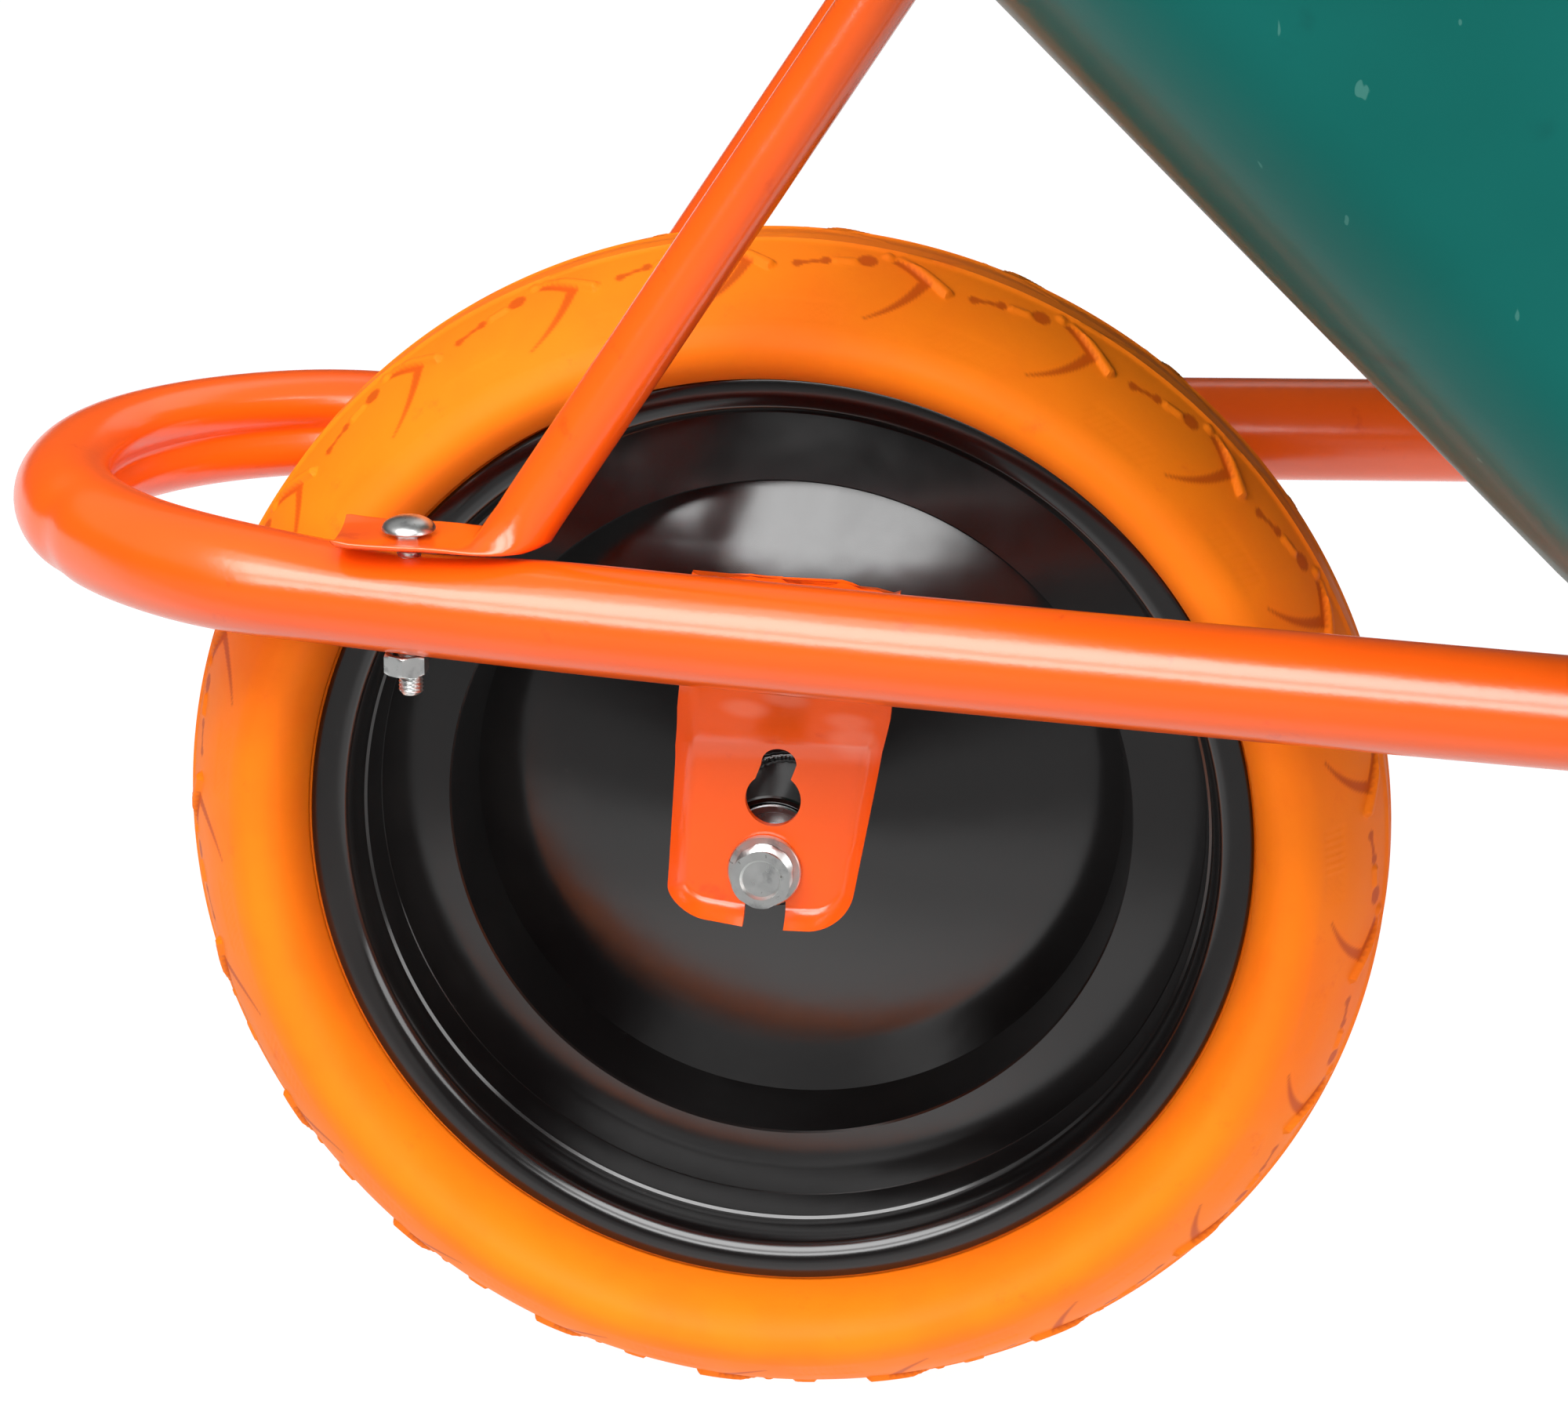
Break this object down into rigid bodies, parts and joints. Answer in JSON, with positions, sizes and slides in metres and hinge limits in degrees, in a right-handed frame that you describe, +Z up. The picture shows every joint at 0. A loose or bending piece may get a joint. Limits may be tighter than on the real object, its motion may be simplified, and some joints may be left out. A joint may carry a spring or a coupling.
{
  "type": "wheelbarrow",
  "caption": "Single-wheel wheelbarrow: deep sheet-steel tray on a bent tube frame that loops round a solid foam tyre, with bolted struts and bent tube legs.",
  "frame": {"origin": "on the ground below the middle of the barrow's overall box, with the barrow standing on its wheel and two foot plates", "axes": "+X towards the handles, so the wheel is at -X; +Z up; -Y is the left hand of a user who holds the handles"},
  "size_m": [1.458, 0.69, 0.6],
  "materials": {
    "orange_paint": "glossy orange powder coat",
    "orange_foam": "matte orange polyurethane foam",
    "black_paint": "glossy black enamel",
    "green_paint": "glossy dark teal green paint",
    "zinc": "satin zinc plating",
    "bearing_steel": "polished ground steel",
    "grip_rubber": "ribbed matte black rubber"
  },
  "bodies": {
    "barrow": {"axle_bolt": "zinc", "axle_bracket_left": "orange_paint", "axle_bracket_right": "orange_paint", "axle_nut": "zinc", "axle_spacer_left": "zinc", "axle_spacer_right": "zinc", "axle_washer_left": "zinc", "axle_washer_right": "zinc", "foot_plate_left": "orange_paint", "foot_plate_right": "orange_paint", "frame_loop": "orange_paint", "front_strut_left": "orange_paint", "front_strut_right": "orange_paint", "grip_left": "grip_rubber", "grip_right": "grip_rubber", "handle_tube_left": "orange_paint", "handle_tube_right": "orange_paint", "joint_sleeve_left": "zinc", "joint_sleeve_right": "zinc", "leg_bolt_front_left": "zinc", "leg_bolt_front_right": "zinc", "leg_bolt_rear_left": "zinc", "leg_bolt_rear_right": "zinc", "leg_crossbar": "orange_paint", "leg_left": "orange_paint", "leg_nut_front_left": "zinc", "leg_nut_front_right": "zinc", "leg_nut_rear_left": "zinc", "leg_nut_rear_right": "zinc", "leg_right": "orange_paint", "strut_lower_bolt_left": "zinc", "strut_lower_bolt_right": "zinc", "strut_lower_nut_left": "zinc", "strut_lower_nut_right": "zinc", "strut_upper_bolt_left": "zinc", "strut_upper_bolt_right": "zinc", "strut_upper_nut_left": "zinc", "strut_upper_nut_right": "zinc", "tray": "green_paint", "tray_bearer_front": "orange_paint", "tray_bearer_rear": "orange_paint", "tray_bolt_front_left": "zinc", "tray_bolt_front_right": "zinc", "tray_bolt_rear_left": "zinc", "tray_bolt_rear_right": "zinc", "tray_nut_front_left": "zinc", "tray_nut_front_right": "zinc", "tray_nut_rear_left": "zinc", "tray_nut_rear_right": "zinc", "tray_washer_front_left": "zinc", "tray_washer_front_right": "zinc", "tray_washer_rear_left": "zinc", "tray_washer_rear_right": "zinc"},
    "wheel": {"tyre": "orange_foam", "rim_disc": "black_paint", "rim_ring": "black_paint", "hub_tube": "black_paint", "wheel_bearing_left": "bearing_steel", "wheel_bearing_right": "bearing_steel"}
  },
  "joints": [
    {"name": "wheel_spin", "type": "hinge", "parent": "barrow", "child": "wheel", "pos_m": [-0.4735, 0, 0.2], "axis": [0, 1, 0], "continuous": true}
  ]
}
